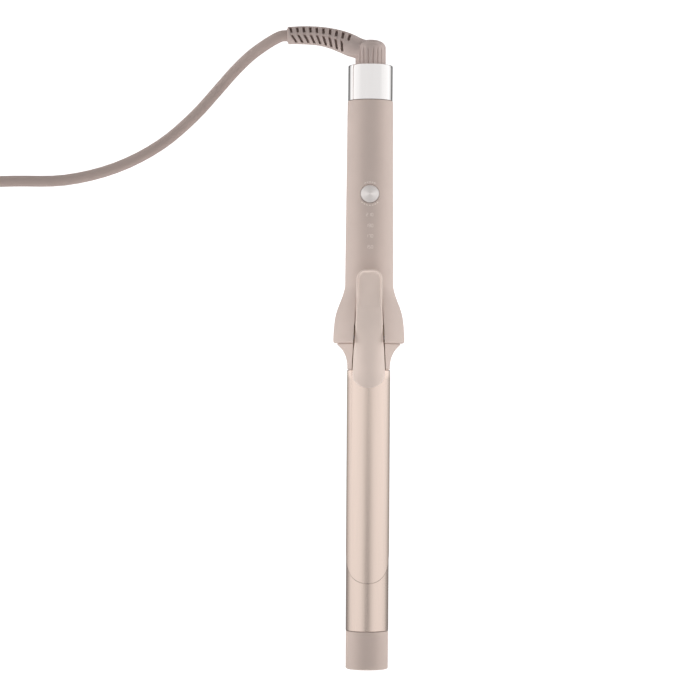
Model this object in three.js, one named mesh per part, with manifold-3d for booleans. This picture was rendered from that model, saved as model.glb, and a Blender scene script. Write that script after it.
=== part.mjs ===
// Electric curling iron with a spring clamp, a swivel cord exit and a mains lead.
// Units are millimetres. The row frame has +Z up and the iron lying on a table at z = 0.
// The iron itself is drawn in its own frame, with its long axis along Y (cord end +Y, cool tip -Y) and the thumb lever on +Z.
// That frame is then tipped by TILT, so that the guard's rest flat and the end ring's lower edge both touch the table.
import * as THREE from "three";
import { mergeVertices } from "three/addons/utils/BufferGeometryUtils.js";
import Module from "manifold-3d";

const wasm = await Module();
wasm.setup();

// ---------------------------------------------------------------- driving dimensions
const BARREL_R = 12.5; // 25 mm barrel
const BARREL_WALL = 1.0;
const BARREL_Y0 = -18.8;
const BARREL_Y1 = -171.1;
const TIP_R = 12.4;
const TIP_Y1 = -193.7;
const PLATE_RI = 12.68;
const PLATE_RO = 13.38;
const PLATE_HALF_DEG = 72;
const PLATE_Y0 = -19.0;
const PLATE_Y1 = -143.4;
const PLATE_END = 18.8;
const HANDLE = [
  // outer radius of handle and guard
  [138.7, 13.28], [116, 13.47], [88, 13.64], [60, 13.86], [31.5, 14.08], [28.2, 14.5],
  [24.6, 15.5], [21.1, 16.85], [17.6, 18.25], [14.1, 19.3], [10.6, 20.0], [5.9, 20.5], [0, 20.85], [-2.5, 20.85], [-3.1, 20.25],
];
const CAVITY = [
  // inner radius of handle and guard
  [-3.1, 18.5], [7.2, 18.5], [10.6, 17.8], [15.8, 16.4], [21.1, 14.5], [26.4, 12.7], [32, 11.9], [138.7, 11.2],
];
const NECK = [
  // outer radius of the neck cone under the guard
  [-3.4, 19.1], [-4.7, 17.75], [-6.4, 16.15], [-8.2, 14.8], [-10.6, 13.65], [-12.9, 12.95], [-15.2, 12.62], [-18.3, 12.5],
];
const RING_Y0 = 139.0;
const RING_Y1 = 159.5;
const RING_R = 12.97;
const ELBOW_R = 8.9;
const PIN_Z = 13.5; // clamp hinge axis, at y = 0
const PIN_R = 1.25;
const LEVER_MAX_DEG = 16;
const BUTTON_Y = 83.7;
const BUTTON_R = 5.35;
const BUTTON_TOP = 12.75;
const CORD_R = 3.25;
const TILT = THREE.MathUtils.degToRad(2.5);
const FLAT_Y = 5.2; // station of the rest flat's centre, which is the row's origin

// ---------------------------------------------------------------- solid helpers
function solid(geometry, matrix) {
  let g = geometry.index ? geometry.toNonIndexed() : geometry.clone();
  g = new THREE.BufferGeometry().setAttribute("position", g.getAttribute("position").clone());
  if (matrix) g.applyMatrix4(matrix);
  g = mergeVertices(g, 1e-4);
  const p = g.attributes.position.array;
  const t = Array.from(g.index.array);
  const clean = [];
  let vol = 0;
  for (let i = 0; i < t.length; i += 3) {
    const [a, b, c] = [t[i], t[i + 1], t[i + 2]];
    if (a === b || b === c || a === c) continue;
    clean.push(a, b, c);
    const [ax, ay, az] = [p[3 * a], p[3 * a + 1], p[3 * a + 2]];
    const [bx, by, bz] = [p[3 * b], p[3 * b + 1], p[3 * b + 2]];
    const [cx, cy, cz] = [p[3 * c], p[3 * c + 1], p[3 * c + 2]];
    vol += ax * (by * cz - bz * cy) - ay * (bx * cz - bz * cx) + az * (bx * cy - by * cx);
  }
  if (vol < 0) for (let i = 0; i < clean.length; i += 3) [clean[i + 1], clean[i + 2]] = [clean[i + 2], clean[i + 1]];
  return new wasm.Manifold(
    new wasm.Mesh({ numProp: 3, vertProperties: new Float32Array(p), triVerts: new Uint32Array(clean) }),
  );
}
const at = (x, y, z) => new THREE.Matrix4().makeTranslation(x, y, z);
const union = (...s) => s.reduce((a, b) => a.add(b));
// Solid of revolution about Y from [y, r] pairs, closed on the axis or on itself.
function lathe(pairs, segments = 36, matrix) {
  const pts = pairs.map(([y, r]) => new THREE.Vector2(r, y));
  return solid(new THREE.LatheGeometry(pts, segments, Math.PI / segments), matrix);
}
const disc = (y0, y1, r, seg = 24, matrix) => lathe([[y0, 0], [y0, r], [y1, r], [y1, 0]], seg, matrix);
const tube = (y0, y1, ri, ro, seg = 32, matrix) =>
  lathe([[y0, ri], [y0, ro], [y1, ro], [y1, ri], [y0, ri]], seg, matrix);
function box(x0, x1, y0, y1, z0, z1) {
  return solid(new THREE.BoxGeometry(x1 - x0, y1 - y0, z1 - z0), at((x0 + x1) / 2, (y0 + y1) / 2, (z0 + z1) / 2));
}
// Upright cylinder, and one that lies along X.
const post = (x, y, z0, z1, r, seg = 20) =>
  solid(new THREE.CylinderGeometry(r, r, z1 - z0, seg), at(x, y, (z0 + z1) / 2).multiply(new THREE.Matrix4().makeRotationX(Math.PI / 2)));
const rod = (y, z, x0, x1, r, seg = 20) =>
  solid(new THREE.CylinderGeometry(r, r, x1 - x0, seg), at((x0 + x1) / 2, y, z).multiply(new THREE.Matrix4().makeRotationZ(Math.PI / 2)));
// Tube along a smooth curve through the points.
function wire(points, r, sides = 8, steps = 24) {
  const shape = new THREE.Shape();
  for (let i = 0; i < sides; i++) {
    const a = ((i + 0.5) / sides) * 2 * Math.PI;
    if (i) shape.lineTo(r * Math.cos(a), r * Math.sin(a));
    else shape.moveTo(r * Math.cos(a), r * Math.sin(a));
  }
  shape.closePath();
  const path = new THREE.CatmullRomCurve3(points.map((p) => new THREE.Vector3(...p)), false, "centripetal");
  return solid(new THREE.ExtrudeGeometry(shape, { steps, bevelEnabled: false, extrudePath: path }));
}
// Closed loft through loops of equal length; the end caps are cut in the plane of the given two coordinates.
function loft(rings, ax = 0, ay = 2) {
  const n = rings[0].length;
  const pos = [];
  rings.forEach((r) => r.forEach((p) => pos.push(...p)));
  const idx = [];
  for (let j = 0; j + 1 < rings.length; j++)
    for (let i = 0; i < n; i++) {
      const a = j * n + i, b = j * n + ((i + 1) % n), c = a + n, d = b + n;
      idx.push(a, b, d, a, d, c);
    }
  const cap = (j, turn) => {
    const flat = rings[j].map((p) => new THREE.Vector2(p[ax], p[ay]));
    for (const [a, b, c] of THREE.ShapeUtils.triangulateShape(flat, [])) {
      const t = [j * n + a, j * n + b, j * n + c];
      idx.push(...(turn ? [t[0], t[2], t[1]] : t));
    }
  };
  // Both caps are triangulated in one sense, and each is turned so that it agrees with the side faces.
  const area = THREE.ShapeUtils.area(rings[0].map((p) => new THREE.Vector2(p[ax], p[ay])));
  const ccw = area > 0;
  cap(0, ccw);
  cap(rings.length - 1, !ccw);
  const g = new THREE.BufferGeometry();
  g.setAttribute("position", new THREE.Float32BufferAttribute(pos, 3));
  g.setIndex(idx);
  return solid(g);
}
const lerpTable = (table, y) => {
  const t = [...table].sort((a, b) => a[0] - b[0]);
  if (y <= t[0][0]) return t[0][1];
  for (let i = 1; i < t.length; i++)
    if (y <= t[i][0]) {
      const f = (y - t[i - 1][0]) / (t[i][0] - t[i - 1][0]);
      return t[i - 1][1] * (1 - f) + t[i][1] * f;
    }
  return t[t.length - 1][1];
};

// ---------------------------------------------------------------- materials
const mat = (color, roughness, metalness) => new THREE.MeshStandardMaterial({ color, roughness, metalness });
const M = {
  handle: mat(0xb9a79d, 0.55, 0.0),
  lever: mat(0xcfbeb4, 0.5, 0.0),
  cordset: mat(0xa5968f, 0.6, 0.0),
  gold: mat(0xe6d5c8, 0.3, 1.0),
  chrome: mat(0xdedad8, 0.08, 1.0),
  button: mat(0xd8d2cd, 0.25, 1.0),
  steel: mat(0xa8a9ab, 0.35, 1.0),
  brass: mat(0xb79a55, 0.35, 1.0),
  dark: mat(0x2c2a2a, 0.6, 0.0),
  board: mat(0x1f5a3a, 0.55, 0.0),
  ceramic: mat(0xe9e4da, 0.7, 0.0),
  alu: mat(0xbfc2c5, 0.4, 1.0),
  mica: mat(0xcdb892, 0.6, 0.0),
  red: mat(0x8f2b25, 0.5, 0.0),
  white: mat(0xe8e6e0, 0.5, 0.0),
  lens: mat(0xf2efe6, 0.2, 0.0),
};

const root = new THREE.Group();
const iron = new THREE.Group();
const lead = new THREE.Group();
root.add(iron, lead);
function put(group, name, s, material) {
  const m = s.asOriginal().simplify(0.004).getMesh();
  const n = m.numProp;
  const v = new Float32Array(m.numVert * 3);
  for (let i = 0; i < m.numVert; i++) v.set(m.vertProperties.subarray(i * n, i * n + 3), i * 3);
  const g = new THREE.BufferGeometry();
  g.setAttribute("position", new THREE.BufferAttribute(v, 3));
  g.setIndex(new THREE.BufferAttribute(new Uint32Array(m.triVerts), 1));
  g.computeVertexNormals();
  const mesh = new THREE.Mesh(g, material);
  mesh.name = name;
  group.add(mesh);
  return mesh;
}

// ---------------------------------------------------------------- handle and guard shells
const slotHalf = (y) => lerpTable([[-19, 10.1], [-3, 9.2], [14, 8.35], [20, 7.95], [30, 7.95]], y);
// Plan-view wedge of the lever's slot between two stations, over a height range.
function slotCut(y0, y1, z0, z1, grow = 0) {
  const a = slotHalf(y0) + grow, b = slotHalf(y1) + grow;
  return loft([
    [[-a, y0, z0], [a, y0, z0], [a, y0, z1], [-a, y0, z1]],
    [[-b, y1, z0], [b, y1, z0], [b, y1, z1], [-b, y1, z1]],
  ]);
}
const shellOuter = lathe([[HANDLE[0][0], 0], ...HANDLE, [HANDLE[HANDLE.length - 1][0], 0]]);
const shellInner = lathe([[CAVITY[0][0] - 1, 0], [CAVITY[0][0] - 1, CAVITY[0][1]], ...CAVITY, [CAVITY[CAVITY.length - 1][0] + 1, CAVITY[CAVITY.length - 1][1]], [CAVITY[CAVITY.length - 1][0] + 1, 0]]);
// Well under the thumb lever: a floor that keeps the handle's inside closed while the lever dips.
const wellCut = loft([
  [[-9.3, 6.6, 10.4], [9.3, 6.6, 10.4], [9.3, 6.6, 26], [-9.3, 6.6, 26]],
  [[-8.35, 14, 12.2], [8.35, 14, 12.2], [8.35, 14, 26], [-8.35, 14, 26]],
  [[-7.95, 20, 13.0], [7.95, 20, 13.0], [7.95, 20, 26], [-7.95, 20, 26]],
  [[-7.95, 27.2, 13.6], [7.95, 27.2, 13.6], [7.95, 27.2, 26], [-7.95, 27.2, 26]],
]);
const wellTray = loft([
  [[-10.6, 7.6, 9.2], [10.6, 7.6, 9.2], [10.6, 7.6, 26], [-10.6, 7.6, 26]],
  [[-10.0, 14, 10.6], [10.0, 14, 10.6], [10.0, 14, 26], [-10.0, 14, 26]],
  [[-9.6, 20, 11.2], [9.6, 20, 11.2], [9.6, 20, 26], [-9.6, 20, 26]],
  [[-9.6, 29.2, 11.6], [9.6, 29.2, 11.6], [9.6, 29.2, 26], [-9.6, 29.2, 26]],
]).intersect(shellOuter);
const spigotOuter = tube(136.6, 150.0, 9.8, 11.2, 48).add(tube(136.6, 138.6, 9.8, 12.2, 48));
const SCREWS = [38, 122];
let shell = shellOuter.subtract(shellInner).add(spigotOuter);
shell = shell.add(box(-2.6, 2.6, SCREWS[0] - 2.6, SCREWS[0] + 2.6, -12.6, 12.6)).add(box(-2.6, 2.6, SCREWS[1] - 2.6, SCREWS[1] + 2.6, -12.6, 12.6));
let front = shell.intersect(box(-30, 30, -10, 160, 0.15, 30)).add(wellTray);
front = front.subtract(slotCut(-4, 7, 8, 30)).subtract(wellCut);
front = front.subtract(post(0, BUTTON_Y, 8, 16, BUTTON_R + 0.25, 28));
front = front.subtract(post(0, SCREWS[0], -1, 8.5, 1.15, 12)).subtract(post(0, SCREWS[1], -1, 8.5, 1.15, 12));
put(iron, "handle_front_shell", front, M.handle);

// The rest flat under the guard, in the plane of the table.
const H0 = 159.0 * Math.sin(TILT) + RING_R * Math.cos(TILT);
const tableInIron = new THREE.Matrix4().makeRotationX(TILT); // row to iron, about the iron's origin
const belowTable = solid(
  new THREE.BoxGeometry(80, 80, 20),
  tableInIron.clone().multiply(at(0, 0, -H0 - 10)),
);
let rear = shell.intersect(box(-30, 30, -10, 160, -30, -0.15)).subtract(belowTable);
for (const y of SCREWS)
  rear = rear.subtract(post(0, y, -16, 1, 1.3, 12)).subtract(post(0, y, -16, -10.4, 2.5, 20));
put(iron, "handle_rear_shell", rear, M.handle);

SCREWS.forEach((y, i) =>
  put(
    iron,
    "handle_screw_" + "ab"[i],
    union(post(0, y, -10.9, 7.6, 1.0, 10), post(0, y, -12.4, -10.7, 2.25, 16)).subtract(box(-1.7, 1.7, y - 0.3, y + 0.3, -13, -11.5)).subtract(box(-0.3, 0.3, y - 1.7, y + 1.7, -13, -11.5)),
    M.steel,
  ),
);

// ---------------------------------------------------------------- neck cone with the clamp's hinge ears
let neck = lathe([
  [-18.3, 11.6], ...[...NECK].reverse(), [-3.4, 18.2], [6.3, 18.2], [6.3, 12.4], [-3.4, 11.6], [-18.3, 11.6],
]);
neck = neck.subtract(slotCut(-19, -3, 6.4, 30)).subtract(slotCut(-3.2, 7, 6.4, 30));
neck = neck.subtract(rod(0, PIN_Z, -20, 20, PIN_R + 0.1, 24));
put(iron, "neck_cone", neck, M.handle);
put(iron, "hinge_pin", rod(0, PIN_Z, -10.9, 10.9, PIN_R, 24), M.steel);

// ---------------------------------------------------------------- barrel, cool tip and heater
put(iron, "barrel_tube", tube(BARREL_Y1, BARREL_Y0, BARREL_R - BARREL_WALL, BARREL_R, 48), M.gold);
put(
  iron,
  "cool_tip_cap",
  lathe([
    [TIP_Y1, 0], [TIP_Y1, 10.9], [TIP_Y1 + 0.35, 11.75], [TIP_Y1 + 1.3, 12.25], [TIP_Y1 + 3.5, TIP_R], [BARREL_Y1 - 0.35, TIP_R],
    [BARREL_Y1 - 0.35, 11.2], [-164.5, 11.2], [-164.5, 9.4], [TIP_Y1 + 2.2, 9.4], [TIP_Y1 + 2.2, 0],
  ]).subtract(tube(-168.2, -166.6, 10.5, 11.6, 32)),
  M.handle,
);
put(iron, "tip_snap_ring", tube(-168.0, -166.8, 10.65, 11.35, 32).subtract(box(-1.2, 1.2, -169, -166, -13, -8)), M.steel);
// Sleeve that carries the barrel in the handle; its top is cut away for the hinge.
let mount = lathe([[-44, 9.9], [-44, 11.25], [-18.5, 11.25], [8.4, 11.25], [8.4, 13.9], [10.2, 13.9], [10.2, 9.9], [-44, 9.9]], 40);
mount = mount.subtract(box(-14, 14, -17.8, 11, 7.6, 20));
put(iron, "barrel_mount", mount, M.mica);
put(iron, "heat_barrier", disc(-16.5, -14.2, 9.5, 28).subtract(box(-6, 6, -18, -12, -3.2, 3.2)), M.ceramic);
put(iron, "spreader_upper", disc(-158, -48, 11.1, 32).intersect(box(-20, 20, -160, -40, 1.9, 20)).subtract(box(-3, 3, -160, -40, 6, 20)), M.alu);
put(iron, "spreader_lower", disc(-158, -48, 11.1, 32).intersect(box(-20, 20, -160, -40, -20, -1.9)).subtract(box(-3, 3, -160, -40, -20, -6)), M.alu);
put(iron, "heater_plate", box(-7, 7, -150, -47, -1.2, 1.2), M.ceramic);
put(iron, "thermistor_bead", union(wire([[0, -46, 8.0], [0, -60, 8.0]], 1.1, 8, 4)), M.red);

// ---------------------------------------------------------------- clamp
const ringPoint = (r, deg, y) => {
  const a = THREE.MathUtils.degToRad(deg);
  return [r * Math.sin(a), y, r * Math.cos(a)];
};
function plateRing(y, half, n, ri = PLATE_RI, ro = PLATE_RO) {
  const loop = [];
  for (let i = 0; i <= n; i++) loop.push(ringPoint(ro, -half + (2 * half * i) / n, y));
  for (let i = n; i >= 0; i--) loop.push(ringPoint(ri, -half + (2 * half * i) / n, y));
  return loop;
}
const plateRings = [];
for (const y of [PLATE_Y0, -70, PLATE_Y1 + PLATE_END]) plateRings.push(plateRing(y, PLATE_HALF_DEG, 18));
for (const t of [18, 34, 48, 60, 70, 78, 84]) {
  const a = THREE.MathUtils.degToRad(t);
  plateRings.push(plateRing(PLATE_Y1 + PLATE_END - PLATE_END * Math.sin(a), PLATE_HALF_DEG * Math.cos(a), 18));
}
let plate = loft(plateRings);
plate = plate.add(loft([plateRing(-20.5, 27, 8), plateRing(-5.2, 27, 8)]));
const CLAMP_SCREWS = [-13.2, -8.0];
for (const y of CLAMP_SCREWS) plate = plate.subtract(post(0, y, 10, 16, 1.25, 12));
put(iron, "clamp_plate", plate, M.gold);

// Thumb lever: root saddle over the plate, ramp through the guard's slot, raised paddle with a shallow dish.
const LEVER_W = [[-21.5, 9.5], [-18.2, 9.4], [-3, 8.6], [15, 7.6], [20, 7.5], [36, 7.5]];
const LEVER_Z = [[-29.3, 14.9], [-21.5, 15.1], [-18.2, 15.5], [-10, 17.2], [-3, 19.0], [5, 20.3], [11, 21.1], [19.4, 22.6], [30, 25.6], [39.8, 28.4]];
const LEVER_CROWN = [[-29.3, 3.4], [-18.2, 3.7], [-3, 2.0], [11, 1.2], [19.4, 0.5], [39.8, 0.3]];
function leverRing(y, w, n = 8, dish = 0) {
  const zc = lerpTable(LEVER_Z, y), crown = lerpTable(LEVER_CROWN, y);
  const loop = [];
  for (let i = 0; i <= n; i++) {
    const x = -w + (2 * w * i) / n;
    const inner = Math.abs(x) < w - 1.6 ? dish : 0;
    loop.push([x, y, zc - crown * (x / 9.5) ** 2 - inner]);
  }
  for (let i = n; i >= 0; i--) {
    const x = (-w + (2 * w * i) / n) * 0.985;
    const thick = 2.0;
    const low = zc - crown * (x / 9.5) ** 2 - thick;
    const saddle = Math.sqrt(13.72 ** 2 - x * x);
    const f = Math.min(1, Math.max(0, (y + 5) / 3));
    loop.push([x, y, saddle * (1 - f) + low * f]);
  }
  return loop;
}
const leverRings = [];
for (const t of [80, 66, 50, 33, 16]) {
  const a = THREE.MathUtils.degToRad(t);
  leverRings.push(leverRing(-21.5 - 7.8 * Math.sin(a), 9.5 * Math.cos(a) ** 0.8));
}
for (const y of [-21.5, -18.2, -10, -5, -2, 5, 11, 15, 17.2]) leverRings.push(leverRing(y, lerpTable(LEVER_W, y)));
leverRings.push(leverRing(18.8, 7.5, 8, 0.4), leverRing(35.3, 7.5, 8, 0.6));
leverRings.push(leverRing(36.1, 7.2), leverRing(37.3, 6.2), leverRing(38.1, 4.9), leverRing(38.5, 3.5));
let lever = loft(leverRings);
for (const s of [-1, 1]) {
  const x0 = s > 0 ? 6.3 : -8.3, x1 = s > 0 ? 8.3 : -6.3;
  lever = lever.add(box(x0, x1, -2.9, 2.9, PIN_Z, 18.4)).add(rod(0, PIN_Z, x0, x1, 2.9, 20));
}
lever = lever.subtract(rod(0, PIN_Z, -9, 9, PIN_R + 0.1, 24));
for (const y of CLAMP_SCREWS) lever = lever.subtract(post(0, y, 10, y < -10 ? 15.2 : 16.2, 1.1, 12));
put(iron, "thumb_lever", lever, M.lever);
CLAMP_SCREWS.forEach((y, i) =>
  put(iron, "clamp_screw_" + "ab"[i], union(post(0, y, 11.9, i ? 15.9 : 14.9, 0.9, 10), post(0, y, 10.9, 12.0, 1.9, 14)), M.steel),
);

// Torsion spring round the hinge pin, with one arm under the lever and one on the barrel mount.
const spring = [];
spring.push([-3.2, 9.0, 17.7], [-3.2, 5.0, 16.7], [-3.2, 2.2, 16.1]);
for (let i = 0; i <= 36; i++) {
  const a = THREE.MathUtils.degToRad(90 + i * 32.5);
  spring.push([-3.2 + (6.4 * i) / 36, 2.45 * Math.cos(a), PIN_Z + 2.45 * Math.sin(a)]);
}
spring.push([3.2, -2.6, 10.4], [3.2, -3.4, 8.6]);
put(iron, "clamp_spring", wire(spring, 0.42, 6, 64), M.steel);

// ---------------------------------------------------------------- end ring and swivel
put(
  iron,
  "end_ring",
  lathe([[RING_Y0, 11.5], [RING_Y0, RING_R - 0.25], [RING_Y0 + 0.3, RING_R], [RING_Y1 - 0.5, RING_R], [RING_Y1, RING_R - 0.4], [RING_Y1, 6.6], [RING_Y1 - 1.6, 6.6], [RING_Y1 - 1.6, 11.5], [RING_Y0, 11.5]]),
  M.chrome,
);
// Swivel: fluted elbow above the end ring, hollow shaft and flange below it.
const flutes = new THREE.Shape();
const FL = 20;
for (let i = 0; i < FL * 4; i++) {
  const a = (i / (FL * 4)) * 2 * Math.PI, r = ELBOW_R - (i % 4 === 0 ? 0.7 : i % 4 === 2 ? 0 : 0.12);
  if (i) flutes.lineTo(r * Math.cos(a), r * Math.sin(a));
  else flutes.moveTo(r * Math.cos(a), r * Math.sin(a));
}
flutes.closePath();
const fluted = solid(
  new THREE.ExtrudeGeometry(flutes, { depth: 170.2 - 159.9, bevelEnabled: false }),
  at(0, 170.2, 0).multiply(new THREE.Matrix4().makeRotationX(Math.PI / 2)),
);
const dome = lathe([[170.0, 0], [170.0, 8.5], [171.6, 8.0], [173.2, 6.9], [174.3, 5.2], [174.8, 3.0], [174.8, 0]], 32);
const socket = wire([[0, 166.5, 0], [-5, 168.6, 0], [-10.5, 171.0, 0]], 6.1, 16, 6);
const flange = union(disc(158.0 + 0.3, 160.0, 6.2, 28), tube(155.2, 157.5, 3.2, 8.6, 28), disc(140.5, 158.6, 3.6, 20));
let elbow = union(fluted, dome, socket, flange.subtract(disc(139, 157, 2.2, 16)));
put(iron, "swivel_elbow", elbow, M.cordset);
// Strain relief: tapered flexible boot along the elbow's side outlet.
const BOOT = [[-11.0, 171.3], [-15.5, 173.2], [-20.2, 174.8], [-24.9, 176.0], [-29.6, 176.8], [-34.3, 177.2], [-39.0, 177.35], [-43.7, 177.3], [-48.6, 177.1]];
const bootCurve = new THREE.CatmullRomCurve3(BOOT.map(([x, y]) => new THREE.Vector3(x, y, 0)), false, "centripetal");
const bootRings = [];
for (let j = 0; j <= 14; j++) {
  const u = j / 14, p = bootCurve.getPointAt(u), t = bootCurve.getTangentAt(u);
  const nrm = new THREE.Vector3(-t.y, t.x, 0), r = 6.0 - 1.2 * u - (j > 1 && j < 13 && j % 2 ? 0.35 : 0);
  const loop = [];
  for (let i = 0; i < 14; i++) {
    const a = ((i + 0.5) / 14) * 2 * Math.PI;
    loop.push([p.x + nrm.x * r * Math.cos(a), p.y + nrm.y * r * Math.cos(a), r * Math.sin(a)]);
  }
  bootRings.push(loop);
}
put(iron, "strain_relief", loft(bootRings, 1, 2), M.cordset);
put(iron, "swivel_clip", tube(153.4, 154.8, 3.75, 6.4, 24).subtract(box(-0.8, 0.8, 150, 156, -8, -2)), M.steel);
put(iron, "slip_ring_a", tube(149.6, 151.8, 3.75, 4.7, 20), M.brass);
put(iron, "slip_ring_b", tube(144.6, 146.8, 3.75, 4.7, 20), M.brass);
put(iron, "brush_a", union(box(-1.1, 1.1, 149.9, 151.5, 4.9, 5.4), box(-1.1, 1.1, 134.0, 151.5, 5.35, 5.85)), M.brass);
put(iron, "brush_b", union(box(-1.1, 1.1, 144.9, 146.5, -5.4, -4.9), box(-1.1, 1.1, 134.0, 146.5, -5.85, -5.35)), M.brass);
put(iron, "brush_carrier", disc(132.6, 136.6, 10.7, 28).subtract(box(-1.5, 1.5, 133.7, 140, 5.05, 6.15)).subtract(box(-1.5, 1.5, 133.7, 140, -6.15, -5.05)).subtract(disc(130, 138, 2.4, 14)).subtract(post(4.6, 134.5, 4.0, 12, 1.0, 8).add(post(-4.6, 134.5, -12, -4.0, 1.0, 8))), M.dark);

// ---------------------------------------------------------------- controls
put(iron, "power_button", union(post(0, BUTTON_Y, 9.0, BUTTON_TOP, BUTTON_R, 28), post(0, BUTTON_Y, 8.3, 9.2, 6.1, 24), post(0, BUTTON_Y, 7.9, 8.5, 1.5, 12)), M.button);
put(iron, "control_board", box(-8.6, 8.6, 50, 112, 2.6, 4.2).subtract(post(0, 106, 2, 5, 1.2, 10)), M.board);
put(iron, "tact_switch", union(box(-3, 3, BUTTON_Y - 3, BUTTON_Y + 3, 4.5, 6.2), post(0, BUTTON_Y, 6.1, 7.0, 1.6, 12)), M.dark);
put(iron, "mode_light_guide", union(box(-2.4, 2.4, 51.5, 75.5, 5.6, 7.4), box(-2.4, 2.4, 52.4, 54.6, 7.3, 9.6), box(-2.4, 2.4, 58.9, 61.1, 7.3, 9.6), box(-2.4, 2.4, 65.1, 67.3, 7.3, 9.6), box(-2.4, 2.4, 71.7, 73.9, 7.3, 9.6)), M.lens);
put(iron, "triac", union(box(-5.2, 5.2, 97, 101.6, 4.5, 9.4)), M.dark);
put(iron, "film_capacitor", box(-7.4, 7.4, 52, 64, -6.4, 2.3), M.red);
put(iron, "controller_chip", box(-4, 4, 70, 78, 0.9, 2.3), M.dark);
put(iron, "thermal_fuse", wire([[0, 40.5 + 4, 0], [0, 40.5 + 6.5, 0]], 2.0, 10, 2), M.white);
put(iron, "mains_wire_a", wire([[4.0, 131.9, 6.0], [4.4, 126.5, 6.6], [5.0, 119.0, 5.6], [5.2, 113.6, 3.6]], 1.0, 8, 12), M.red);
put(iron, "mains_wire_b", wire([[-4.0, 131.9, -6.0], [-4.6, 126.5, -6.0], [-5.0, 119.5, -2.0], [-5.2, 113.6, 2.4]], 1.0, 8, 12), M.dark);
put(iron, "heater_lead_a", wire([[5.6, 49.4, 0.5], [6.0, 40, -2.0], [4.6, 20, -3.6], [4.2, 0, -1.5], [4.0, -20, 0], [4.0, -46.0, 0]], 0.95, 8, 14), M.white);
put(iron, "heater_lead_b", wire([[-5.6, 49.4, 0.5], [-6.0, 40, -2.0], [-4.6, 20, -3.6], [-4.2, 0, -1.5], [-4.0, -20, 0], [-4.0, -46.0, 0]], 0.95, 8, 14), M.white);

iron.rotation.x = -TILT;
{
  // the rest flat's centre goes to the row's origin
  const p = new THREE.Vector3(0, FLAT_Y, 0).applyEuler(new THREE.Euler(-TILT, 0, 0));
  iron.position.set(0, -p.y, H0);
}

// ---------------------------------------------------------------- mains lead on the table (row frame)
const toRow = (x, y, z) => {
  const v = new THREE.Vector3(x, y, z).applyEuler(new THREE.Euler(-TILT, 0, 0));
  return [v.x + iron.position.x, v.y + iron.position.y, v.z + iron.position.z];
};
const COIL = [-273.0, 42.5]; // centre of the tied coil
const COIL_MEAN = 36.0;
const exitP = toRow(-49.15, 177.07, 0);
const route = [
  exitP,
  [-52.4, exitP[1] - 0.3, exitP[2] - 0.15],
  [-57.0, exitP[1] - 2.4, exitP[2] - 0.9],
  [-64.2, exitP[1] - 6.8, 9.2],
  [-71.3, exitP[1] - 12.0, 6.9],
  [-80.7, exitP[1] - 21.0, 4.6],
  [-90.0, exitP[1] - 31.5, 3.5],
  [-104.0, exitP[1] - 47.0, 3.3],
  [-124.0, exitP[1] - 64.0, 3.3],
  [-150.0, exitP[1] - 77.5, 3.3],
  [-180.0, exitP[1] - 85.0, 3.3],
  [-210.0, COIL[1] + 43.4, 3.3],
  [-232.0, COIL[1] + 42.7, 3.3],
  [-248.7, COIL[1] + 42.5, 3.3],
];
put(lead, "cord_run", wire(route, CORD_R, 10, 30), M.cordset);
// Outer shape of the coil: the turns lie beside and on each other.
const coilRing = lathe(
  [[0.05, COIL_MEAN - 9.4], [0.05, COIL_MEAN + 9.4], [4.5, COIL_MEAN + 9.7], [12.0, COIL_MEAN + 6.6], [17.6, COIL_MEAN + 3.4], [17.6, COIL_MEAN - 3.4], [12.0, COIL_MEAN - 6.6], [4.5, COIL_MEAN - 9.7], [0.05, COIL_MEAN - 9.4]],
  40,
  at(COIL[0], COIL[1], 0).multiply(new THREE.Matrix4().makeRotationX(Math.PI / 2)),
);
put(lead, "cord_coil", coilRing, M.cordset);

// Tie: a flexible strap round all the turns on one side.
const TIE_A = THREE.MathUtils.degToRad(120);
const tieFrame = at(COIL[0], COIL[1], 0).multiply(new THREE.Matrix4().makeRotationZ(TIE_A)).multiply(at(COIL_MEAN, 0, 0)).multiply(new THREE.Matrix4().makeRotationX(Math.PI / 2));
// The strap is open underneath, where the coil lies on the table.
const tieShape = new THREE.Shape([
  [-11.2, 0.1], [-10.2, 0.1], [-10.5, 4.9], [-7.2, 12.5], [-3.9, 18.0], [3.9, 18.0], [7.2, 12.5], [10.5, 4.9], [10.2, 0.1], [11.2, 0.1],
  [11.5, 5.0], [8.1, 13.0], [4.4, 19.0], [-4.4, 19.0], [-8.1, 13.0], [-11.5, 5.0],
].map(([x, y]) => new THREE.Vector2(x, y)));
put(lead, "cord_tie", solid(new THREE.ExtrudeGeometry(tieShape, { depth: 9, bevelEnabled: false }), tieFrame.clone().multiply(at(0, 0, -4.5))), M.dark);

// Tail from the coil to the plug, and the two-pin plug lying beside the coil.
const tail = [
  [COIL[0] - 36.2, COIL[1] - 34.5, 11.6],
  [COIL[0] - 36.0, COIL[1] - 42.0, 9.6],
  [COIL[0] - 35.6, COIL[1] - 50.0, 8.1],
  [COIL[0] - 35.2, COIL[1] - 57.0, 7.55],
  [COIL[0] - 35.0, COIL[1] - 62.0, 7.5],
  [COIL[0] - 35.0, COIL[1] - 66.0, 7.5],
];
put(lead, "cord_tail", wire(tail, CORD_R, 10, 10), M.cordset);
const plugX = COIL[0] - 35.0; // where the cord enters the plug
const plugY = COIL[1] - 66.35;
const inPlug = (m) => at(plugX, plugY, 7.5).multiply(new THREE.Matrix4().makeRotationZ(Math.PI)).multiply(m || new THREE.Matrix4());
const plugRing = (y, hw, hh) => {
  const loop = [];
  for (let i = 0; i < 16; i++) {
    const a = ((i + 0.5) / 16) * 2 * Math.PI, c = Math.cos(a), q = Math.sin(a);
    loop.push([hw * Math.sign(c) * Math.abs(c) ** 0.55, y, hh * Math.sign(q) * Math.abs(q) ** 0.7]);
  }
  return loop;
};
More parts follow.
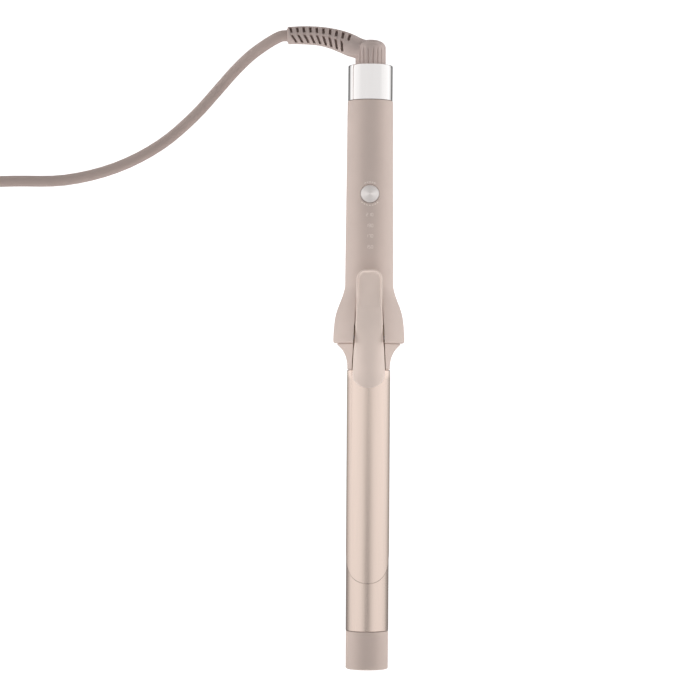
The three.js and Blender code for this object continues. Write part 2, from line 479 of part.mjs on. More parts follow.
const plugBody = loft([
  plugRing(0, 4.4, 4.4), plugRing(9, 5.0, 5.0), plugRing(13, 6.2, 5.6), plugRing(18, 11.0, 6.6), plugRing(26, 14.6, 7.2), plugRing(37, 15.6, 7.3), plugRing(38.5, 15.0, 7.0),
]);
const asGeometry = (s) => {
  const m = s.getMesh();
  const g = new THREE.BufferGeometry();
  g.setAttribute("position", new THREE.BufferAttribute(new Float32Array(m.vertProperties), 3));
  g.setIndex(new THREE.BufferAttribute(new Uint32Array(m.triVerts), 1));
  return g;
};
put(lead, "plug_body", solid(asGeometry(plugBody), inPlug()), M.cordset);
for (const [i, dx] of [[0, -9.3], [1, 9.3]])
  put(lead, "plug_pin_" + "ab"[i], solid(asGeometry(lathe([[38.8, 0], [38.8, 2.0], [56.4, 2.0], [57.5, 1.1], [57.5, 0]], 14)), inPlug(at(dx, 0, 0))), M.steel);

export default root;
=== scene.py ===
import math

import bmesh
import bpy
from mathutils import Matrix, Vector


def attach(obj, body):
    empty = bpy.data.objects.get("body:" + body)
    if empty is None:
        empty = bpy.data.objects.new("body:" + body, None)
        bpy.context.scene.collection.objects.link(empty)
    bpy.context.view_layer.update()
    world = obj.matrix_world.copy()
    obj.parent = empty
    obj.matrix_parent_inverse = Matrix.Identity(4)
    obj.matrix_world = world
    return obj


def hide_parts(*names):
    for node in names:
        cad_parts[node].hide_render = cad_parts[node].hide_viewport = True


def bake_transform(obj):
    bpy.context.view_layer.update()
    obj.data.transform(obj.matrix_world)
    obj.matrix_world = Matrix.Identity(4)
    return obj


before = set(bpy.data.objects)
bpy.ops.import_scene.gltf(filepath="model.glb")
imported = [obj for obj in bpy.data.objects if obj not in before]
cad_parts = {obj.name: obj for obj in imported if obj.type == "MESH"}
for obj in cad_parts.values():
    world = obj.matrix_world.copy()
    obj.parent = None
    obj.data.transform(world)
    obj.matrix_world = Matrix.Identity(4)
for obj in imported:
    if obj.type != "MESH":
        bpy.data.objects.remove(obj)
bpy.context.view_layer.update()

# ------------------------------------------------------------------ the iron's own frame
TILT = math.radians(2.5)
RING_R = 12.97
H0 = 159.0 * math.sin(TILT) + RING_R * math.cos(TILT)
FLAT_Y = 5.2
IRON = Matrix.Translation((0, -FLAT_Y * math.cos(TILT) / 1000, H0 / 1000)) @ Matrix.Rotation(-TILT, 4, "X")


def iron(x, y, z):
    """A point of the iron's frame, in mm, as a point of the row frame, in metres."""
    return IRON @ Vector((x / 1000, y / 1000, z / 1000))


def iron_dir(x, y, z):
    return IRON.to_3x3() @ Vector((x, y, z))


# ------------------------------------------------------------------ camera
PX = 0.5865  # mm per picture unit of 1/700 at the iron's axis
cam_data = bpy.data.cameras.new("camera")
camera = bpy.data.objects.new("camera", cam_data)
bpy.context.scene.collection.objects.link(camera)
bpy.context.scene.camera = camera
DIST = 1.5
cam_data.sensor_width = 36.0
cam_data.lens = 36.0 / (700 * PX / 1000 / DIST)
cam_data.shift_y = 40.0 / 700
cam_data.clip_start, cam_data.clip_end = 0.05, 20.0
roll = math.radians(0.376)
up = iron_dir(-math.sin(roll), math.cos(roll), 0)
back = iron_dir(0, 0, 1)
right = up.cross(back)
place = iron(-10.83, -7.04 - 40 * PX, 0) + back * DIST
camera.matrix_world = Matrix((
    (right.x, up.x, back.x, place.x),
    (right.y, up.y, back.y, place.y),
    (right.z, up.z, back.z, place.z),
    (0, 0, 0, 1),
))

# ------------------------------------------------------------------ materials
def new_material(name):
    m = bpy.data.materials.new(name)
    m.use_nodes = True
    nt = m.node_tree
    bsdf = nt.nodes["Principled BSDF"]
    return m, nt, bsdf


def noise(nt, scale, detail=4.0, rough=0.55, stretch=None):
    co = nt.nodes.new("ShaderNodeTexCoord")
    tex = nt.nodes.new("ShaderNodeTexNoise")
    tex.inputs["Scale"].default_value = scale
    tex.inputs["Detail"].default_value = detail
    tex.inputs["Roughness"].default_value = rough
    src = co.outputs["Object"]
    if stretch:
        mp = nt.nodes.new("ShaderNodeMapping")
        mp.inputs["Scale"].default_value = stretch
        nt.links.new(src, mp.inputs["Vector"])
        src = mp.outputs["Vector"]
    nt.links.new(src, tex.inputs["Vector"])
    return tex


def ramp(nt, fac, stops):
    r = nt.nodes.new("ShaderNodeValToRGB")
    e = r.color_ramp.elements
    while len(e) < len(stops):
        e.new(0.5)
    for el, (p, c) in zip(e, stops):
        el.position = p
        el.color = (*c, 1) if len(c) == 3 else c
    nt.links.new(fac, r.inputs["Fac"])
    return r


def lin(r, g, b):
    def f(v):
        v = v / 255
        return v / 12.92 if v <= 0.04045 else ((v + 0.055) / 1.055) ** 2.4
    return (f(r), f(g), f(b))


def scale_colour(c, k):
    return tuple(min(1.0, v * k) for v in c)


def moulded(name, colour, rough=0.45, grain=900, bump=0.05, mottle=0.03, spread=0.05, coat=0.0):
    """Moulded plastic: a fine spark-eroded grain, a slow drift of colour and a patchy sheen."""
    m, nt, b = new_material(name)
    slow = noise(nt, 55, 3)
    col = ramp(nt, slow.outputs["Fac"], [(0.3, scale_colour(colour, 1 - mottle)), (0.7, scale_colour(colour, 1 + mottle))])
    nt.links.new(col.outputs["Color"], b.inputs["Base Color"])
    fine = noise(nt, grain, 5, 0.6)
    r = ramp(nt, slow.outputs["Fac"], [(0.25, (rough - spread,) * 3), (0.75, (rough + spread,) * 3)])
    nt.links.new(r.outputs["Color"], b.inputs["Roughness"])
    bp = nt.nodes.new("ShaderNodeBump")
    bp.inputs["Strength"].default_value = bump
    bp.inputs["Distance"].default_value = 0.0001
    nt.links.new(fine.outputs["Fac"], bp.inputs["Height"])
    nt.links.new(bp.outputs["Normal"], b.inputs["Normal"])
    b.inputs["IOR"].default_value = 1.46
    if coat:
        b.inputs["Coat Weight"].default_value = coat
    return m


def metal(name, colour, rough, stretch=(900, 14, 900), bump=0.02, spread=0.03, mottle=0.02, streak=1.0):
    """Metal with fine draw lines along one direction."""
    m, nt, b = new_material(name)
    line = noise(nt, streak, 4, 0.6, stretch)
    col = ramp(nt, line.outputs["Fac"], [(0.3, scale_colour(colour, 1 - mottle)), (0.7, scale_colour(colour, 1 + mottle))])
    nt.links.new(col.outputs["Color"], b.inputs["Base Color"])
    r = ramp(nt, line.outputs["Fac"], [(0.3, (rough - spread,) * 3), (0.7, (rough + spread,) * 3)])
    nt.links.new(r.outputs["Color"], b.inputs["Roughness"])
    bp = nt.nodes.new("ShaderNodeBump")
    bp.inputs["Strength"].default_value = bump
    bp.inputs["Distance"].default_value = 0.00005
    nt.links.new(line.outputs["Fac"], bp.inputs["Height"])
    nt.links.new(bp.outputs["Normal"], b.inputs["Normal"])
    b.inputs["Metallic"].default_value = 1.0
    return m


HANDLE = moulded("handle_plastic", lin(205, 187, 178), 0.46, bump=0.06)
# Painted light: the lever's plastic is a lighter copy of the handle's, standing in for the light that its tilted paddle
# catches.
LEVER_PAINTED_LIGHT = moulded("lever_plastic", lin(226, 208, 198), 0.42, bump=0.05)
TIP = moulded("tip_plastic", lin(197, 179, 170), 0.46, bump=0.06)
CORDSET = moulded("cordset_vinyl", lin(190, 173, 167), 0.5, grain=1400, bump=0.08)
CORD = moulded("cord_vinyl", lin(176, 158, 151), 0.48, grain=1600, bump=0.08)
GOLD = metal("champagne_metal", lin(240, 220, 208), 0.23, bump=0.012, spread=0.02)
CHROME = metal("polished_ring", lin(244, 241, 240), 0.07, bump=0.004, spread=0.015, mottle=0.008)
STEEL = metal("steel", lin(178, 178, 180), 0.32, stretch=(500, 500, 60), spread=0.05)
BRASS = metal("brass", lin(196, 166, 98), 0.3, spread=0.05)
ALU = metal("aluminium", lin(196, 198, 201), 0.4, spread=0.05)
DARK = moulded("dark_plastic", lin(52, 49, 48), 0.5, mottle=0.1)
BOARD = moulded("board", lin(40, 98, 66), 0.45, grain=500, mottle=0.12)
CERAMIC = moulded("ceramic", lin(232, 228, 220), 0.7, mottle=0.04)
MICA = moulded("heat_resistant", lin(196, 180, 150), 0.6, mottle=0.1)
RED = moulded("insulation_red", lin(150, 52, 44), 0.4, mottle=0.06)
WHITE = moulded("insulation_white", lin(230, 228, 222), 0.5, mottle=0.04)
LENS = moulded("light_guide", lin(236, 234, 226), 0.2, mottle=0.02)
PRINT = moulded("pad_print", lin(235, 222, 214), 0.5, grain=1500, bump=0.02, mottle=0.02)
# Painted shade: a darkened copy of the boot's vinyl, laid on the floors of the boot's slots where shade falls.
SLOT_PAINTED_SHADE = moulded("slot_painted_shade", lin(108, 92, 86), 0.6, mottle=0.04)
CAVITY = moulded("shell_inside", lin(120, 106, 99), 0.6, mottle=0.04)


def spun_metal(name, colour):
    """Turned disc: rings round the centre, shaded as spun metal is."""
    m, nt, b = new_material(name)
    co = nt.nodes.new("ShaderNodeTexCoord")
    ln = nt.nodes.new("ShaderNodeVectorMath")
    ln.operation = "LENGTH"
    nt.links.new(co.outputs["Object"], ln.inputs[0])
    mul = nt.nodes.new("ShaderNodeMath")
    mul.operation = "MULTIPLY"
    mul.inputs[1].default_value = 2600
    nt.links.new(ln.outputs["Value"], mul.inputs[0])
    tex = nt.nodes.new("ShaderNodeTexNoise")
    tex.noise_dimensions = "1D"
    tex.inputs["Scale"].default_value = 4.0
    tex.inputs["Detail"].default_value = 3.0
    nt.links.new(mul.outputs["Value"], tex.inputs["W"])
    col = ramp(nt, tex.outputs["Fac"], [(0.3, scale_colour(colour, 0.93)), (0.7, scale_colour(colour, 1.04))])
    nt.links.new(col.outputs["Color"], b.inputs["Base Color"])
    bp = nt.nodes.new("ShaderNodeBump")
    bp.inputs["Strength"].default_value = 0.15
    bp.inputs["Distance"].default_value = 0.00004
    nt.links.new(tex.outputs["Fac"], bp.inputs["Height"])
    nt.links.new(bp.outputs["Normal"], b.inputs["Normal"])
    tan = nt.nodes.new("ShaderNodeTangent")
    tan.direction_type = "RADIAL"
    tan.axis = "Z"
    b.inputs["Metallic"].default_value = 1.0
    b.inputs["Roughness"].default_value = 0.4
    b.inputs["Anisotropic"].default_value = 0.93
    b.inputs["Anisotropic Rotation"].default_value = 0.25
    nt.links.new(tan.outputs["Tangent"], b.inputs["Tangent"])
    return m


SPUN = spun_metal("spun_metal", lin(255, 246, 243))

# ------------------------------------------------------------------ mesh helpers
def make(name, verts, faces, materials, local=True, sharp=32.0):
    """An object from points in the iron's frame in mm, or with local off, in the row frame in mm."""
    me = bpy.data.meshes.new(name)
    pts = [iron(*v) if local else Vector(v) / 1000 for v in verts]
    me.from_pydata(pts, [], faces)
    me.validate()
    ob = bpy.data.objects.new(name, me)
    bpy.context.scene.collection.objects.link(ob)
    for m in materials if isinstance(materials, (list, tuple)) else [materials]:
        me.materials.append(m)
    fix_normals(me)
    smooth(me, sharp)
    return ob


def fix_normals(me):
    bm = bmesh.new()
    bm.from_mesh(me)
    bmesh.ops.remove_doubles(bm, verts=bm.verts, dist=1e-6)
    bmesh.ops.recalc_face_normals(bm, faces=bm.faces)
    bm.to_mesh(me)
    bm.free()


def smooth(me, sharp=32.0):
    me.polygons.foreach_set("use_smooth", [True] * len(me.polygons))
    me.set_sharp_from_angle(angle=math.radians(sharp))
    me.update()


def lathe_data(profile, n=128, close=False, y_axis=True):
    """Revolves [y, r] pairs about the iron's Y axis. A profile that starts and ends on the axis gets fan ends; close joins its last row to its first."""
    verts, faces, rows = [], [], []
    for y, r in profile:
        if r < 1e-6:
            rows.append([len(verts)])
            verts.append((0, y, 0))
        else:
            rows.append(list(range(len(verts), len(verts) + n)))
            verts += [(r * math.sin(2 * math.pi * i / n), y, r * math.cos(2 * math.pi * i / n)) for i in range(n)]
    pairs = list(zip(rows, rows[1:]))
    if close:
        pairs.append((rows[-1], rows[0]))
    for a, b in pairs:
        for i in range(n):
            j = (i + 1) % n
            if len(a) == 1 and len(b) == 1:
                continue
            if len(a) == 1:
                faces.append((a[0], b[j], b[i]))
            elif len(b) == 1:
                faces.append((a[i], a[j], b[0]))
            else:
                faces.append((a[i], a[j], b[j], b[i]))
    return verts, faces


def loft_data(rings):
    n = len(rings[0])
    verts = [p for r in rings for p in r]
    faces = []
    for j in range(len(rings) - 1):
        for i in range(n):
            k = (i + 1) % n
            faces.append((j * n + i, j * n + k, (j + 1) * n + k, (j + 1) * n + i))
    faces.append(tuple(range(n)))
    faces.append(tuple(reversed(range((len(rings) - 1) * n, len(rings) * n))))
    return verts, faces


def boolean(ob, others, operation="DIFFERENCE", sharp=32.0):
    for o in others:
        md = ob.modifiers.new("cut", "BOOLEAN")
        md.operation = operation
        md.object = o
        md.solver = "EXACT"
    bpy.context.view_layer.update()
    dg = bpy.context.evaluated_depsgraph_get()
    me = bpy.data.meshes.new_from_object(ob.evaluated_get(dg))
    old = ob.data
    ob.modifiers.clear()
    ob.data = me
    bpy.data.meshes.remove(old)
    for o in others:
        d = o.data
        bpy.data.objects.remove(o)
        bpy.data.meshes.remove(d)
    smooth(me, sharp)
    return ob


def bevel(ob, width, angle=40, segments=2, sharp=32.0):
    md = ob.modifiers.new("edge", "BEVEL")
    md.width = width / 1000
    md.segments = segments
    md.limit_method = "ANGLE"
    md.angle_limit = math.radians(angle)
    md.use_clamp_overlap = True
    md.harden_normals = False
    bpy.context.view_layer.update()
    dg = bpy.context.evaluated_depsgraph_get()
    me = bpy.data.meshes.new_from_object(ob.evaluated_get(dg))
    ob.modifiers.clear()
    ob.data = me
    smooth(me, sharp)
    return ob


def table(points, v, key=0):
    pts = sorted(points)
    if v <= pts[0][0]:
        return pts[0][1]
    for (a, x), (b, y) in zip(pts, pts[1:]):
        if v <= b:
            f = (v - a) / (b - a)
            return x * (1 - f) + y * f
    return pts[-1][1]


def smooth_table(points, v):
    """Monotone cubic through the points."""
    p = sorted(points)
    if v <= p[0][0]:
        return p[0][1]
    if v >= p[-1][0]:
        return p[-1][1]
    d = [(b[1] - a[1]) / (b[0] - a[0]) for a, b in zip(p, p[1:])]
    m = [d[0]] + [0 if x * y <= 0 else 2 * x * y / (x + y) for x, y in zip(d, d[1:])] + [d[-1]]
    for i, (a, b) in enumerate(zip(p, p[1:])):
        if v <= b[0]:
            h = b[0] - a[0]
            t = (v - a[0]) / h
            return (
                (2 * t**3 - 3 * t**2 + 1) * a[1] + (t**3 - 2 * t**2 + t) * h * m[i]
                + (-2 * t**3 + 3 * t**2) * b[1] + (t**3 - t**2) * h * m[i + 1]
            )


def steps(a, b, size):
    n = max(1, int(math.ceil(abs(b - a) / size)))
    return [a + (b - a) * i / n for i in range(n + 1)]


def box_obj(x0, x1, y0, y1, z0, z1):
    v = [(x, y, z) for x in (x0, x1) for y in (y0, y1) for z in (z0, z1)]
    f = [(0, 1, 3, 2), (4, 6, 7, 5), (0, 4, 5, 1), (2, 3, 7, 6), (0, 2, 6, 4), (1, 5, 7, 3)]
    return make("cutter", v, f, CAVITY)


def post_obj(x, y, z0, z1, r, n=64):
    ring = [(math.cos(2 * math.pi * i / n), math.sin(2 * math.pi * i / n)) for i in range(n)]
    return make("cutter", *loft_data([[(x + r * a, y + r * b, z) for a, b in ring] for z in (z0, z1)]), CAVITY)


def rod_obj(y, z, x0, x1, r, n=48):
    ring = [(math.cos(2 * math.pi * i / n), math.sin(2 * math.pi * i / n)) for i in range(n)]
    return make("cutter", *loft_data([[(x, y + r * a, z + r * b) for a, b in ring] for x in (x0, x1)]), CAVITY)


def catmull(points, per=8):
    """Centripetal curve through the points, sampled."""
    P = [Vector(p) for p in points]
    P = [P[0] * 2 - P[1]] + P + [P[-1] * 2 - P[-2]]
    out = []
    for i in range(1, len(P) - 2):
        p0, p1, p2, p3 = P[i - 1 : i + 3]
        t0 = 0.0
        t1 = t0 + (p1 - p0).length ** 0.5
        t2 = t1 + (p2 - p1).length ** 0.5
        t3 = t2 + (p3 - p2).length ** 0.5
        for k in range(per):
            t = t1 + (t2 - t1) * k / per
            a1 = p0 * ((t1 - t) / (t1 - t0)) + p1 * ((t - t0) / (t1 - t0))
            a2 = p1 * ((t2 - t) / (t2 - t1)) + p2 * ((t - t1) / (t2 - t1))
            a3 = p2 * ((t3 - t) / (t3 - t2)) + p3 * ((t - t2) / (t3 - t2))
            b1 = a1 * ((t2 - t) / (t2 - t0)) + a2 * ((t - t0) / (t2 - t0))
            b2 = a2 * ((t3 - t) / (t3 - t1)) + a3 * ((t - t1) / (t3 - t1))
            out.append(b1 * ((t2 - t) / (t2 - t1)) + b2 * ((t - t1) / (t2 - t1)))
    out.append(P[-2])
    return out


# ------------------------------------------------------------------ cord (row frame, mm)
CORD_R = 3.25
exit_p = iron(-49.15, 177.07, 0) * 1000
COIL = (-273.0, 42.5)
route = [
    tuple(exit_p),
    (-52.4, exit_p.y - 0.3, exit_p.z - 0.15),
    (-57.0, exit_p.y - 2.4, exit_p.z - 0.9),
    (-64.2, exit_p.y - 6.8, 9.2),
    (-71.3, exit_p.y - 12.0, 6.9),
    (-80.7, exit_p.y - 21.0, 4.6),
    (-90.0, exit_p.y - 31.5, 3.5),
    (-104.0, exit_p.y - 47.0, 3.3),
    (-124.0, exit_p.y - 64.0, 3.3),
    (-150.0, exit_p.y - 77.5, 3.3),
    (-180.0, exit_p.y - 85.0, 3.3),
    (-210.0, COIL[1] + 43.4, 3.3),
    (-232.0, COIL[1] + 42.7, 3.3),
    (-248.7, COIL[1] + 42.5, 3.3),
    (-262.0, COIL[1] + 42.5, 3.3),
]


def ease(t):
    t = min(1.0, max(0.0, t))
    return t * t * (3 - 2 * t)


# One lane for each turn of the coil, counter-clockwise from above, as (radius, height). The last fifth of each turn crosses to the next lane.
L1, L2, L3 = 3.3, 8.95, 14.6
LANES = [(42.5, L1), (36.0, L1), (29.5, L1), (32.75, L2), (39.25, L2), (36.0, L3)]


def coil_points(turns, step_deg=20):
    pts = []
    total = turns * 360
    a = 0.0
    while a <= total + 1e-6:
        lane = a / 360
        i = min(int(lane), len(LANES) - 1)
        f = ease((lane - i - 0.78) / 0.22) if i + 1 < len(LANES) else 0.0
        r0, z0 = LANES[i]
        r1, z1 = LANES[min(i + 1, len(LANES) - 1)]
        r, z = r0 + (r1 - r0) * f, z0 + (z1 - z0) * f
        w = math.radians(90 + a)
        pts.append((COIL[0] + r * math.cos(w), COIL[1] + r * math.sin(w), z))
        a += step_deg
    return pts


TURNS = 6 + 0.25
coil = coil_points(TURNS)
tail = [
    (COIL[0] - 36.3, COIL[1] - 14.0, 14.4),
    (COIL[0] - 36.2, COIL[1] - 25.0, 13.3),
    (COIL[0] - 36.2, COIL[1] - 34.5, 11.6),
    (COIL[0] - 36.0, COIL[1] - 42.0, 9.6),
    (COIL[0] - 35.6, COIL[1] - 50.0, 8.1),
    (COIL[0] - 35.2, COIL[1] - 57.0, 7.55),
    (COIL[0] - 35.0, COIL[1] - 62.0, 7.5),
    (COIL[0] - 35.0, COIL[1] - 66.0, 7.5),
]
path = catmull(route[:-1] + coil[0:] + tail, 4)


def tube_data(points, radius, sides=20, ends=True):
    """A tube with a steady frame along the points; radius may be a number or a function of the share of length."""
    n = len(points)
    tang = [(points[min(i + 1, n - 1)] - points[max(i - 1, 0)]).normalized() for i in range(n)]
    ref = Vector((0, 0, 1)) if abs(tang[0].z) < 0.9 else Vector((1, 0, 0))
    u = (ref - tang[0] * ref.dot(tang[0])).normalized()
    rings = []
    for i, (p, t) in enumerate(zip(points, tang)):
        u = (u - t * u.dot(t)).normalized()
        v = t.cross(u)
        r = radius(i / (n - 1)) if callable(radius) else radius
        rings.append([tuple(p + u * (r * math.cos(2 * math.pi * k / sides)) + v * (r * math.sin(2 * math.pi * k / sides))) for k in range(sides)])
    return loft_data(rings)


cord = make("mains_cord", *tube_data(path, CORD_R), CORD, local=False, sharp=60)
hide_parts("cord_run", "cord_coil", "cord_tail")

# Tie round the coil, plug and pins, in the row frame.
def coil_strap(name, off=0.0):
    """A flat strap that follows the bundle's section and closes under it."""
    a = math.radians(120)
    out = Vector((math.cos(a), math.sin(a), 0))
    side = Vector((-math.sin(a), math.cos(a), 0))
    centre = Vector((COIL[0], COIL[1], 0)) + out * 36
    sec = [(-9.9, 0.35), (-10.45, 1.6), (-10.6, 4.6), (-9.2, 8.2), (-6.9, 12.2), (-4.4, 16.2), (-2.4, 18.2), (0, 18.75), (2.4, 18.2), (4.4, 16.2), (6.9, 12.2), (9.2, 8.2), (10.6, 4.6), (10.45, 1.6), (9.9, 0.35)]
    top = catmull([(x, z, 0) for x, z in sec], 4)
    rings = []
    for k, p in enumerate(top):
        q = top[min(k + 1, len(top) - 1)] - top[max(k - 1, 0)]
        nrm = Vector((-q.y, q.x, 0)).normalized()
        loop = []
        for s, h in ((-4.4, 0.0), (-4.5, 0.25), (-4.4, 0.5), (-3.6, 0.62), (3.6, 0.62), (4.4, 0.5), (4.5, 0.25), (4.4, 0.0), (0, -0.02)):
            w = p + nrm * h
            loop.append(tuple(centre + out * w.x + side * s + Vector((0, 0, w.y))))
        rings.append(loop)
    return make(name, *loft_data(rings), DARK, local=False, sharp=50)


tie = coil_strap("coil_tie")
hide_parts("cord_tie")

plug_at = Vector((COIL[0] - 35.0, COIL[1] - 66.35, 7.5))


def in_plug(x, y, z):
    return (plug_at.x - x, plug_at.y - y, plug_at.z + z)


PLUG_W = [(0, 4.2), (1.0, 4.5), (9, 5.0), (12, 5.7), (15, 7.6), (18, 10.6), (22, 13.4), (27, 14.8), (33, 15.3), (37, 15.45), (38.1, 15.2), (38.5, 14.6)]
PLUG_H = [(0, 4.2), (1.0, 4.5), (9, 5.0), (12, 5.4), (15, 5.9), (18, 6.4), (22, 6.8), (27, 7.05), (33, 7.2), (37, 7.25), (38.1, 7.0), (38.5, 6.5)]
rings = []
for y in steps(0, 38.5, 0.55):
    w, h = smooth_table(PLUG_W, y), smooth_table(PLUG_H, y)
    # Two grip waists with fine ribs near the shoulders.
    rib = 0.28 * max(0.0, math.sin((y - 20) / 1.5 * math.pi)) if 20 < y < 32 else 0.0
    e = 2.0 if y < 12 else 2.0 + 1.4 * ease((y - 12) / 12)
    loop = []
    for k in range(64):
        a = 2 * math.pi * k / 64
        c, s = math.cos(a), math.sin(a)
        side = abs(c) ** 6
        loop.append(in_plug((w - rib * side) * math.copysign(abs(c) ** (2 / e), c), y, h * math.copysign(abs(s) ** (2 / e), s)))
    rings.append(loop)
plug = make("plug_shell", *loft_data(rings), CORDSET, local=False, sharp=40)
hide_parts("plug_body")
pins = []
for tag, dx in (("a", -9.3), ("b", 9.3)):
    prof = [(38.4, 2.45), (48.2, 2.4), (48.35, 2.0), (56.0, 2.0), (57.0, 1.6), (57.5, 0.9), (57.6, 0.0)]
    v, f = lathe_data([(38.4, 0.0)] + prof, 40)
    pin = make("plug_contact_" + tag, [in_plug(x + dx, y, z) for x, y, z in v], f, [STEEL, CORDSET], local=False, sharp=35)
    for p in pin.data.polygons:
        yy = plug_at.y - p.center.y * 1000
        if yy < 48.25:
            p.material_index = 1
    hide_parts("plug_pin_" + tag)
    pins.append(pin)
for o in [tie, plug] + pins:
    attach(o, "root")
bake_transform(cord)

# ------------------------------------------------------------------ handle and guard
PROFILE = [
    (138.7, 13.27), (137.2, 13.29), (130.2, 13.37), (116.1, 13.47), (102.1, 13.52), (88.0, 13.64), (73.9, 13.78), (59.8, 13.86),
    (45.7, 13.99), (35.0, 14.06), (31.7, 14.09), (29.9, 14.18), (28.2, 14.48), (26.4, 14.97), (24.6, 15.52), (22.9, 16.13), (21.1, 16.82),
    (19.35, 17.52), (17.6, 18.2), (15.8, 18.78), (14.1, 19.27), (12.3, 19.68), (10.6, 19.98), (8.2, 20.25), (5.9, 20.48), (3.5, 20.66),
    (1.2, 20.78), (-0.6, 20.84), (-1.9, 20.85),
]
INNER = [(-3.1, 18.5), (7.2, 18.5), (10.6, 17.8), (15.8, 16.4), (21.1, 14.5), (26.4, 12.7), (32.0, 11.9), (138.7, 11.2)]


def radius_at(y):
    return smooth_table(PROFILE, y)


outer_rows = [(138.7, 12.95), (138.66, 13.12), (138.5, 13.24)]
outer_rows += [(y, radius_at(y)) for y in steps(138.0, 34.0, 4.0)]
outer_rows += [(y, radius_at(y)) for y in steps(33.0, -1.9, 0.7)]
outer_rows += [(-1.9 - 1.2 * math.sin(a), 19.65 + 1.2 * math.cos(a)) for a in [math.radians(d) for d in (20, 40, 60, 75, 90)]]
inner_rows = [(y, table(INNER, y)) for y in [-3.1, 7.2, 8.9, 10.6, 13.2, 15.8, 18.4, 21.1, 23.8, 26.4, 29, 32, 60, 100, 138.7]]
SHELL = lathe_data(outer_rows + inner_rows, 144, close=True)


def slot_half(y):
    return table([(-19, 10.05), (-3, 9.15), (8, 8.6), (15.5, 8.1), (18, 7.8), (30, 7.78)], y)


def wedge(rows, name="cutter"):
    """Box-like loft along Y from (y, half width, low z, high z) rows."""
    return make(name, *loft_data([[(-w, y, a), (w, y, a), (w, y, b), (-w, y, b)] for y, w, a, b in rows]), CAVITY)


def half_shell(name, low, high):
    ob = make(name, *SHELL, [HANDLE])
    ob = boolean(ob, [box_obj(-40, 40, -20, 160, low, high)], "INTERSECT")
    return ob


front = half_shell("handle_front", 0.07, 40)
tray = wedge([(7.6, 10.6, 9.2, 40), (14, 10.0, 10.6, 40), (20, 9.6, 11.2, 40), (29.2, 9.6, 11.6, 40)], "tray")
solid = make("solid", *lathe_data([(138.0, 0.0), (138.0, 13.0)] + [(y, radius_at(y) - 0.02) for y in steps(137.0, -1.9, 0.9)] + [(-3.0, 19.0), (-3.0, 0.0)], 144), HANDLE)
tray = boolean(tray, [solid], "INTERSECT")
tray.data.materials.clear()
tray.data.materials.append(HANDLE)
front = boolean(front, [tray], "UNION")
cut_rows = [(-4, slot_half(-4), 7, 40), (7, slot_half(7), 7, 40)]
well_rows = [(6.6, slot_half(6.6), 10.4, 40), (10, slot_half(10), 11.4, 40), (14, slot_half(14), 12.2, 40), (18, slot_half(18), 12.8, 40), (22, slot_half(22), 13.2, 40), (25.5, 7.78, 13.5, 40), (26.6, 7.2, 13.6, 40), (27.2, 5.6, 13.65, 40)]
front = boolean(front, [wedge(cut_rows), wedge(well_rows)])
front = boolean(front, [post_obj(0, 83.7, 6, 20, 5.55, 96)])
bevel(front, 0.22, 45, 2)
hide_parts("handle_front_shell")

rear = half_shell("handle_rear", -40, -0.07)
# Rest flat in the plane of the table, and the screw wells.
flat = box_obj(-40, 40, -40, 40, -1, 1)
flat.data.transform(IRON.inverted())
flat.data.transform(Matrix.Translation((0, 0, -0.001)))
rear = boolean(rear, [flat] + [post_obj(0, y, -16, -9, 2.6, 48) for y in (38, 122)])
bevel(rear, 0.2, 45, 2)
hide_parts("handle_rear_shell")
# The bosses that the screws clamp, seen at the bottom of the wells.
for tag, y in (("a", 38), ("b", 122)):
    v, f = lathe_data([(0, 1.2), (0, 3.4), (0.5, 3.6), (9.7, 3.6), (10.0, 3.4), (10.0, 1.2)], 48, close=True)
    boss = make("screw_boss_" + tag, [(x, y + z, -10.45 + (yy if yy else 0)) for x, yy, z in v], f, HANDLE)
    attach(boss, "root")

NECK = [(-3.75, 18.72), (-3.95, 18.47), (-4.7, 17.7), (-5.9, 16.52), (-7.0, 15.55), (-8.2, 14.78), (-9.4, 14.12), (-10.6, 13.6), (-11.7, 13.24), (-12.9, 12.95), (-14.1, 12.74), (-15.2, 12.62), (-16.4, 12.54), (-18.0, 12.5)]
rows = [(y, smooth_table(NECK, y)) for y in steps(-3.75, -18.0, 0.45)] + [(-18.25, 12.42), (-18.3, 12.3), (-18.34, 12.12), (-18.74, 12.12), (-18.74, 11.6), (-3.4, 11.6), (6.3, 12.4), (6.3, 18.2), (-3.4, 18.2)]
neck = make("neck_trumpet", *lathe_data(rows, 144, close=True), HANDLE)
neck = boolean(neck, [wedge([(-20, slot_half(-20), 6.4, 40), (-19, slot_half(-19), 6.4, 40), (-3, slot_half(-3), 6.4, 40), (7, slot_half(7), 6.4, 40)]), rod_obj(0, 13.5, -20, 20, 1.33)])
bevel(neck, 0.18, 45, 2)
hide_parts("neck_cone")

# ------------------------------------------------------------------ barrel and cool tip
rows = [(-18.8, 11.5), (-18.8, 12.35), (-18.95, 12.5)] + [(y, 12.5) for y in steps(-22, -170, 8)] + [(-170.98, 12.5), (-171.1, 12.38), (-171.1, 11.5)]
barrel = make("barrel", *lathe_data(rows, 160, close=True), GOLD)
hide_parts("barrel_tube")
rows = [(-193.7, 0.0), (-193.7, 11.6)] + [(-193.7 + 0.8 * (1 - math.cos(a)), 11.6 + 0.78 * math.sin(a)) for a in [math.radians(d) for d in range(12, 91, 13)]]
rows += [(-190.5, 12.38), (-186, 12.4), (-180, 12.4), (-174.5, 12.4), (-171.6, 12.4), (-171.42, 12.24), (-171.42, 11.2), (-164.5, 11.2), (-164.5, 9.4), (-191.5, 9.4), (-191.5, 0.0)]
tip = make("cool_tip", *lathe_data(rows, 144), TIP)
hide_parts("cool_tip_cap")

# ------------------------------------------------------------------ clamp plate
RI, RO, HALF = 12.68, 13.38, 72
ARC = math.radians(HALF) * RO
END_Y, END_B, NEAR_Y = -143.4, 18.8, -18.95


def round_off(d, r):
    d = min(max(d, 0.0), r)
    return r - math.sqrt(max(0.0, r * r - (r - d) ** 2))


